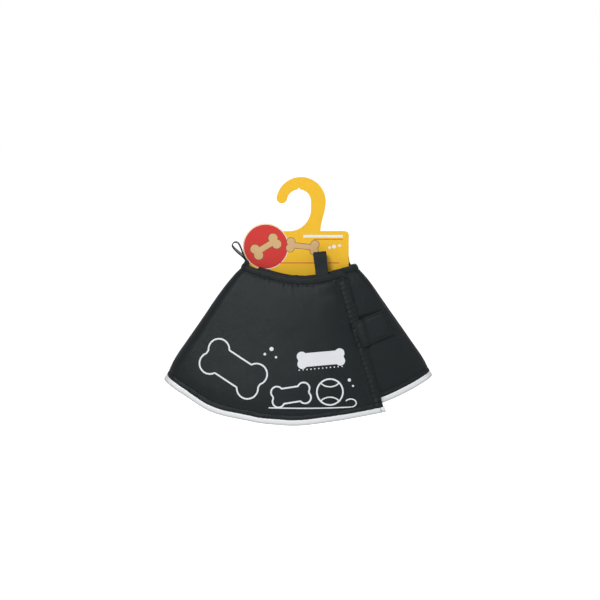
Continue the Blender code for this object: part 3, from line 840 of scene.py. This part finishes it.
def loop_place(spot, across, point):
    """A point of the loop's tape, across its width and along its path."""
    angle, offset, _, lean_side, turn = spot

    def foot_at(angle):
        rim = neck_edge(angle)
        foot = rolled(rim - 0.0008, angle, offset)
        up = (APEX - rolled(rim, angle, -layer_height(angle))).normalized()
        out = (rolled(rim, angle, 1.0) - rolled(rim, angle)).normalized()
        return foot, out, up

    foot, out, up = foot_at(angle)
    along_rim = out.cross(up)
    near_foot, near_out, near_up = foot_at(angle - across / NECK_RADIUS)
    bent = near_foot + near_out * point.x + near_up * point.y
    turned = Vector((across, point.y)) @ Matrix.Rotation(lean_side, 2)
    twist = Matrix.Rotation(turn, 3, up)
    flat = foot + twist @ (along_rim * turned.x + up * turned.y + out * point.x)
    return bent.lerp(flat, smooth_step(point.y / LOOP_FLATTEN))


webbing = make_cloth_material("loop_webbing", (0.0110, 0.0150, 0.0170), 2400.0, 0.60, 0.55)
for name, node, *spot in LOOPS:
    path = tape_path(spot[2])
    path = [path[0] - Vector((0.0, LOOP_SINK))] + path + [path[-1] - Vector((0.0, LOOP_SINK))]
    loop_piece, places = new_grid(name, LOOP_CELLS + 1, len(path))
    run = run_along(path)
    flat = {vert.index: (LOOP_WIDTH * (column / LOOP_CELLS - 0.5), run[row])
            for vert, column, row in places}
    map_flat(loop_piece, flat)
    for vert, column, row in places:
        vert.co = loop_place(spot, flat[vert.index][0], path[row])
    make_slab(loop_piece, LOOP_TAPE, 0.0003)
    cover(loop_piece, webbing)
    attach(loop_piece, "root")
    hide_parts(node)

# Stitches. Dark thread in even lockstitch: round the neck seam, along the hem, down both edges
# of the flap's margin and round the tab, with a tack across the hem tape near its end. Each
# stitch is a short round bead of thread.
STITCH_LENGTH = 0.0028
STITCH_PITCH = 0.0039
THREAD = 0.00050
SEAM_END_SHARE = 0.99       # where the flap's two seams end, down the panel
TACK_SHARE = 0.45           # where the tack is, from the flap's edge to its seam
TACK_INSETS = (0.0095, 0.0004)


def make_stitch():
    """One stitch, a rounded bar along X."""
    bpy.ops.object.select_all(action="DESELECT")
    bpy.ops.mesh.primitive_uv_sphere_add(segments=8, ring_count=6, radius=1.0)
    stitch = bpy.context.object
    for vert in stitch.data.vertices:
        along = math.copysign(abs(vert.co.z) ** 0.45, vert.co.z)
        vert.co = Vector((along * STITCH_LENGTH / 2, vert.co.x * THREAD, vert.co.y * THREAD * 0.8))
    return stitch


def face_height(faces, place):
    """Height of the upper face of a flat piece at a place, or None beside the piece."""
    hit = faces.ray_cast(Vector((place.x, place.y, 0.02)), Vector((0, 0, -1)))[0]
    return None if hit is None else hit.z


def new_piece(made, name):
    """A piece from a finished bmesh."""
    mesh = bpy.data.meshes.new(name)
    made.to_mesh(mesh)
    made.free()
    piece = bpy.data.objects.new(name, mesh)
    bpy.context.scene.collection.objects.link(piece)
    return piece


def sew(name, seams, place, material):
    """Stitches along flat seams. place gives the point over a flat place at a height."""
    stitch = make_stitch()
    thread = bmesh.new()
    for seam, surface in seams:
        left = STITCH_PITCH / 2
        for before, after in zip(seam, seam[1:]):
            span = (after - before).length
            while left < span:
                at = before.lerp(after, left / span)
                ahead = (after - before).normalized()
                level = face_height(surface, at)
                left += STITCH_PITCH
                if level is None:
                    continue
                low = level + THREAD * 0.25
                spot = place(at, low)
                along = (place(at + ahead * 0.0005, low) - place(at - ahead * 0.0005, low)).normalized()
                out = (place(at, low + 0.001) - spot).normalized()
                side = out.cross(along).normalized()
                turned = Matrix((along, side, out)).transposed().to_4x4()
                first = len(thread.verts)
                thread.from_mesh(stitch.data)
                thread.verts.ensure_lookup_table()
                matrix = Matrix.Translation(spot) @ turned
                bmesh.ops.transform(thread, matrix=matrix, verts=thread.verts[first:])
            left -= span
    bpy.data.objects.remove(stitch, do_unlink=True)
    piece = new_piece(thread, name)
    cover(piece, material)
    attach(piece, "root")
    return piece


def over_roll(at, height):
    return rolled(*polar(at), height)


def over_tab(at, height):
    radius, angle = polar(at)
    return cone_point(radius, angle, tab_height(radius, angle) + height)


def seam_place(line, share_down):
    return sewn_flat(line, lerp(casing_end(line), tape_start(line), share_down), 0.0).xy


def flap_seam(share):
    line = margin_line(share)
    return [seam_place(line, lerp(NECK_SEAM_SHARE, SEAM_END_SHARE, i / 40)) for i in range(41)]


thread_material = make_cloth_material("black_thread", (0.0030, 0.0040, 0.0050), 5200.0, 0.45, 0.4)
inner_lines = [line for line in panel_lines if line["margin"] >= EDGE_SEAM_SHARE]
tack_line = margin_line(TACK_SHARE)
tack = [sewn_flat(tack_line, hem_end(tack_line) - inset, 0.0).xy for inset in TACK_INSETS]
fan_thread = sew("seam_thread", [
    (tack, tape_faces),
    ([seam_place(line, NECK_SEAM_SHARE) for line in inner_lines], panel_faces),
    ([seam_place(line, HEM_SEAM_SHARE) for line in inner_lines], panel_faces),
    (flap_seam(EDGE_SEAM_SHARE), panel_faces),
    (flap_seam(1.0), panel_faces),
], over_roll, thread_material)
inset = TAB_SEAM / (TAB_COLUMNS - 1)
inset_down = TAB_SEAM / (TAB_ROWS - 1)
corners = [(inset, inset_down), (1 - inset, inset_down), (1 - inset, 1 - inset_down),
           (inset, 1 - inset_down), (inset, inset_down)]
tab_seam = [laid_flat(TAB_SPOT, TAB_SIZE, across, down) for across, down in corners]
tab_thread = sew("tab_thread", [(tab_seam, tab_faces)], over_tab, thread_material)

# Print on the front. White ink, pulled through a screen on to the nylon before it was sewn: two
# bones in outline and a solid one, a ball, dots, and a line below them that ends in a curl.
INK_WIDTH = 0.0022
INK_LIFT = 0.00012
INK_THICKNESS = 0.0001
INK_STEP = 0.0011
INK_CELL = 0.0024


def bone_outline(centre, turn, length, knob, shaft):
    """Closed outline of a bone with two knobs at each end, in metres on the pattern."""
    half = length / 2 - knob
    points = []
    start = math.asin(min(0.95, shaft / knob / 2))
    for end in (1, -1):
        for upper in (-1, 1):
            mid = Vector((end * half, end * upper * knob * 0.78))
            if upper == -1:
                first, last = -math.pi + start, math.radians(38)
            else:
                first, last = math.radians(-38), math.pi - start
            for i in range(13):
                swing = lerp(first, last, i / 12)
                points.append(mid + Vector((math.cos(swing), math.sin(swing))) * knob * end)
    swing = Matrix.Rotation(turn, 2)
    return [swing @ point + Vector(centre) for point in points]


def ring_outline(centre, radius, count=48):
    return [Vector(centre) + Vector((math.cos(t), math.sin(t))) * radius
            for t in (2 * math.pi * i / count for i in range(count))]


def even_points(points, closed, step):
    """The same line with points at even steps."""
    if closed:
        points = points + [points[0]]
    run = run_along(points)
    count = max(2, round(run[-1] / step))
    made, i = [], 0
    for k in range(count + (0 if closed else 1)):
        at = run[-1] * k / count
        while i < len(run) - 2 and run[i + 1] < at:
            i += 1
        made.append(points[i].lerp(points[i + 1], (at - run[i]) / max(1e-9, run[i + 1] - run[i])))
    return made


def ink_line(ink, points, closed, width):
    """A ribbon of ink along a line, as a strip of faces of the mesh ink."""
    points = even_points(points, closed, INK_STEP)
    pairs = []
    for i, point in enumerate(points):
        before = points[i - 1] if i or closed else point
        after = points[(i + 1) % len(points)] if i + 1 < len(points) or closed else point
        ahead = (after - before).normalized()
        side = Vector((-ahead.y, ahead.x)) * width / 2
        pairs.append([ink.verts.new((*(point + side), 0.0)), ink.verts.new((*(point - side), 0.0))])
    for i in range(len(pairs) if closed else len(pairs) - 1):
        a, b = pairs[i], pairs[(i + 1) % len(pairs)]
        ink.faces.new((a[0], a[1], b[1], b[0]))


def ink_dot(ink, centre, radius):
    middle = ink.verts.new((*centre, 0.0))
    rim = [ink.verts.new((*point, 0.0)) for point in ring_outline(centre, radius, 20)]
    for i, vert in enumerate(rim):
        ink.faces.new((middle, vert, rim[(i + 1) % len(rim)]))


def printed(x, y):
    """Place on the pattern of a point of the print, in millimetres right of and below the apex."""
    return Vector((x / 1000, -y / 1000))


def ink_fill(ink, outline):
    """A solid shape of ink, in small faces, so that it can follow the padding."""
    outline = even_points(outline, True, INK_STEP)
    left, right = min(p.x for p in outline), max(p.x for p in outline)
    low, high = min(p.y for p in outline), max(p.y for p in outline)
    inside = []
    for i in range(1, int((right - left) / INK_CELL)):
        for j in range(1, int((high - low) / INK_CELL)):
            inside.append(Vector((left + i * INK_CELL, low + j * INK_CELL)))
    edges = [(i, (i + 1) % len(outline)) for i in range(len(outline))]
    points, _, faces, *_ = delaunay_2d_cdt(outline + inside, edges, [], 1, 0.00001)
    verts = [ink.verts.new((*point, 0.0)) for point in points]
    for face in faces:
        ink.faces.new([verts[i] for i in face])
    loose = [vert for vert in verts if not vert.link_faces]
    bmesh.ops.delete(ink, geom=loose, context="VERTS")


def arc(centre, radius_x, radius_y, start, end, count=40):
    """Part of an oval, in millimetres and degrees."""
    return [printed(centre[0] + radius_x * math.cos(math.radians(t)),
                    centre[1] - radius_y * math.sin(math.radians(t)))
            for t in (lerp(start, end, i / count) for i in range(count + 1))]


ink = bmesh.new()
ink_line(ink, bone_outline(printed(-92, 249), math.radians(-33), 0.090, 0.0145, 0.0140), True, INK_WIDTH)
ink_line(ink, bone_outline(printed(-14, 284), math.radians(9), 0.052, 0.0080, 0.0080), True, INK_WIDTH)
ink_line(ink, ring_outline(printed(38, 280), 0.0175), True, INK_WIDTH)
ink_line(ink, arc((38, 262), 14.3, 11, -150, -30), False, INK_WIDTH * 0.8)
ink_line(ink, arc((38, 298), 14.3, 11, 30, 150), False, INK_WIDTH * 0.8)
ink_fill(ink, bone_outline(printed(26, 235), math.radians(5), 0.064, 0.0066, 0.0082))
ground = [printed(x, 302 - x * x * 0.00030) for x in range(-44, 66, 2)]
ground += arc((66, 295.2), 7.5, 5.5, -90, 150)
ink_line(ink, ground, False, INK_WIDTH * 0.75)
for i in range(12):
    ink_dot(ink, printed(-3 + 5.2 * i, 250.5 - i * 0.46), 0.0009)
for x, y, radius in ((-40, 222, 2.8), (-49, 229, 1.8), (-34, 233, 1.6), (64, 264, 2.2), (69, 272, 1.5)):
    ink_dot(ink, printed(x, y), radius / 1000)
for vert in ink.verts:
    level = face_height(panel_faces, vert.co)
    if level is not None:
        vert.co.z = level + INK_LIFT
ink.normal_update()
for face in ink.faces:
    if face.normal.z < 0:
        face.normal_flip()
print_piece = new_piece(ink, "panel_print")
roll_up(print_piece)
thicken(print_piece, INK_THICKNESS, offset=1.0)
print_piece.data.materials.append(
    make_cloth_material("white_ink", (0.80, 0.82, 0.86), NYLON_THREADS, 0.55, 0.2, 0.10, 0.0)
)
bpy.ops.object.shade_smooth_by_angle(angle=math.radians(40.0))
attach(print_piece, "root")

# Hanger card. Stiff coated board, die-cut in one piece with its hook, printed on its front. The
# print is plain: a red disc with a bone in the round lobe, a second bone, stripes and dots.
CARD_YELLOW = (0.96, 0.56, 0.014, 1.0)
CARD_RED = (0.68, 0.030, 0.022, 1.0)
CARD_TAN = (0.72, 0.46, 0.21, 1.0)
CARD_BROWN = (0.20, 0.075, 0.028, 1.0)
CARD_WHITE = (0.92, 0.91, 0.86, 1.0)
CARD_DULL = (0.93, 0.50, 0.012, 1.0)
CARD_EDGE = (0.80, 0.62, 0.30, 1.0)
LOBE_CENTRE = (-0.0452, -0.0780)
LOBE_RIM = 0.0008
BONE_RIM = 0.0007
EDGE_BLUR = 0.00012


def length_of(calc, x, z):
    return calc("SQRT", calc("ADD", calc("MULTIPLY", x, x), calc("MULTIPLY", z, z)))


def make_bone_group():
    """Distance to a bone on the card, in metres: two pairs of knobs joined by a shaft."""
    group, given, made = new_group(
        "bone distance",
        [("X", "NodeSocketFloat", 0.0), ("Z", "NodeSocketFloat", 0.0),
         ("Centre X", "NodeSocketFloat", 0.0), ("Centre Z", "NodeSocketFloat", 0.0),
         ("Turn", "NodeSocketFloat", 0.0), ("Half Length", "NodeSocketFloat", 0.015),
         ("Knob", "NodeSocketFloat", 0.004)],
        [("Distance", "NodeSocketFloat")],
    )
    calc = partial(add_math, group)
    x = calc("SUBTRACT", given.outputs["X"], given.outputs["Centre X"])
    z = calc("SUBTRACT", given.outputs["Z"], given.outputs["Centre Z"])
    cos = calc("COSINE", given.outputs["Turn"])
    sin = calc("SINE", given.outputs["Turn"])
    along = calc("ABSOLUTE", calc("ADD", calc("MULTIPLY", x, cos), calc("MULTIPLY", z, sin)))
    aside = calc("ABSOLUTE", calc("SUBTRACT", calc("MULTIPLY", z, cos), calc("MULTIPLY", x, sin)))
    knob = given.outputs["Knob"]
    from_knob_x = calc("SUBTRACT", along, given.outputs["Half Length"])
    from_knob_z = calc("SUBTRACT", aside, calc("MULTIPLY", knob, 0.78))
    knobs = calc("SUBTRACT", length_of(calc, from_knob_x, from_knob_z), knob)
    shaft = calc("MAXIMUM", from_knob_x, calc("SUBTRACT", aside, calc("MULTIPLY", knob, 0.62)))
    group.links.new(calc("SMOOTH_MIN", knobs, shaft, 0.0012), made.inputs["Distance"])
    return group


def make_card_material():
    material, tree, shader = new_material(
        "printed_board", {"Coat Weight": 0.12, "Coat Roughness": 0.25}
    )
    calc, link = partial(add_math, tree), tree.links.new
    place = add_node(tree, "ShaderNodeTexCoord").outputs["Object"]
    apart = add_node(tree, "ShaderNodeSeparateXYZ")
    link(place, apart.inputs[0])
    x, z = apart.outputs[0], apart.outputs[2]
    bone_group = make_bone_group()

    def inside(distance):
        """1 where a distance is negative, with a soft edge."""
        node = add_node(tree, "ShaderNodeMapRange", from_min=-EDGE_BLUR, from_max=EDGE_BLUR,
                        to_min=1.0, to_max=0.0)
        link(distance, node.inputs[0])
        return node.outputs[0]

    def disc(centre_x, centre_z, radius):
        to_centre = length_of(calc, calc("SUBTRACT", x, centre_x), calc("SUBTRACT", z, centre_z))
        return calc("SUBTRACT", to_centre, radius)

    def bar(left, right, low, high):
        """Distance to a bar with square ends."""
        dx = calc("MAXIMUM", calc("SUBTRACT", left, x), calc("SUBTRACT", x, right))
        dz = calc("MAXIMUM", calc("SUBTRACT", low, z), calc("SUBTRACT", z, high))
        return calc("MAXIMUM", dx, dz)

    def bone(centre_x, centre_z, turn, half_length, knob):
        node = add_node(tree, "ShaderNodeGroup", node_tree=bone_group, centre_x=centre_x,
                        centre_z=centre_z, turn=turn, half_length=half_length, knob=knob)
        link(x, node.inputs["X"])
        link(z, node.inputs["Z"])
        return node.outputs[0]

    tone = add_noise(tree, place, scale=90.0, detail=3.0)
    colour = add_mix(tree, calc("MULTIPLY", tone, 0.35), CARD_YELLOW, CARD_DULL)
    lobe = disc(*LOBE_CENTRE, 0.0300)
    layers = [(calc("SUBTRACT", lobe, LOBE_RIM), CARD_WHITE), (lobe, CARD_RED)]
    for shape in (bone(*LOBE_CENTRE, 0.55, 0.0145, 0.0062),
                  bone(0.0050, -0.0775, -0.12, 0.0165, 0.0055)):
        layers += [(calc("SUBTRACT", shape, BONE_RIM), CARD_BROWN), (shape, CARD_TAN)]
    layers += [
        (bar(0.0060, 0.0600, -0.0655, -0.0620), CARD_WHITE),
        (bar(0.0200, 0.0600, -0.0684, -0.0674), CARD_RED),
        (bar(-0.0600, 0.0550, -0.1010, -0.0998), CARD_RED),
        (disc(0.0480, -0.0780, 0.0026), CARD_WHITE),
        (disc(0.0555, -0.0765, 0.0019), CARD_WHITE),
        (disc(0.0420, -0.0795, 0.0019), CARD_WHITE),
    ]
    for distance, ink_colour in layers:
        colour = add_mix(tree, inside(distance), colour, ink_colour)
    facing = add_node(tree, "ShaderNodeNewGeometry")
    turned = add_node(tree, "ShaderNodeSeparateXYZ")
    link(facing.outputs["True Normal"], turned.inputs[0])
    front = calc("LESS_THAN", turned.outputs[1], -0.5)
    edge = calc("LESS_THAN", calc("ABSOLUTE", turned.outputs[1]), 0.5)
    colour = add_mix(tree, edge, add_mix(tree, front, CARD_YELLOW, colour), CARD_EDGE)
    link(colour, shader.inputs["Base Color"])
    grain = add_noise(tree, place, scale=1400.0, detail=2.0)
    link(calc("MULTIPLY_ADD", grain, 0.15, 0.36), shader.inputs["Roughness"])
    add_relief(tree, shader, grain, 0.12, 0.0001)
    return material


card = bpy.data.objects["hanger_card"]
card.material_slots[0].material = make_card_material()
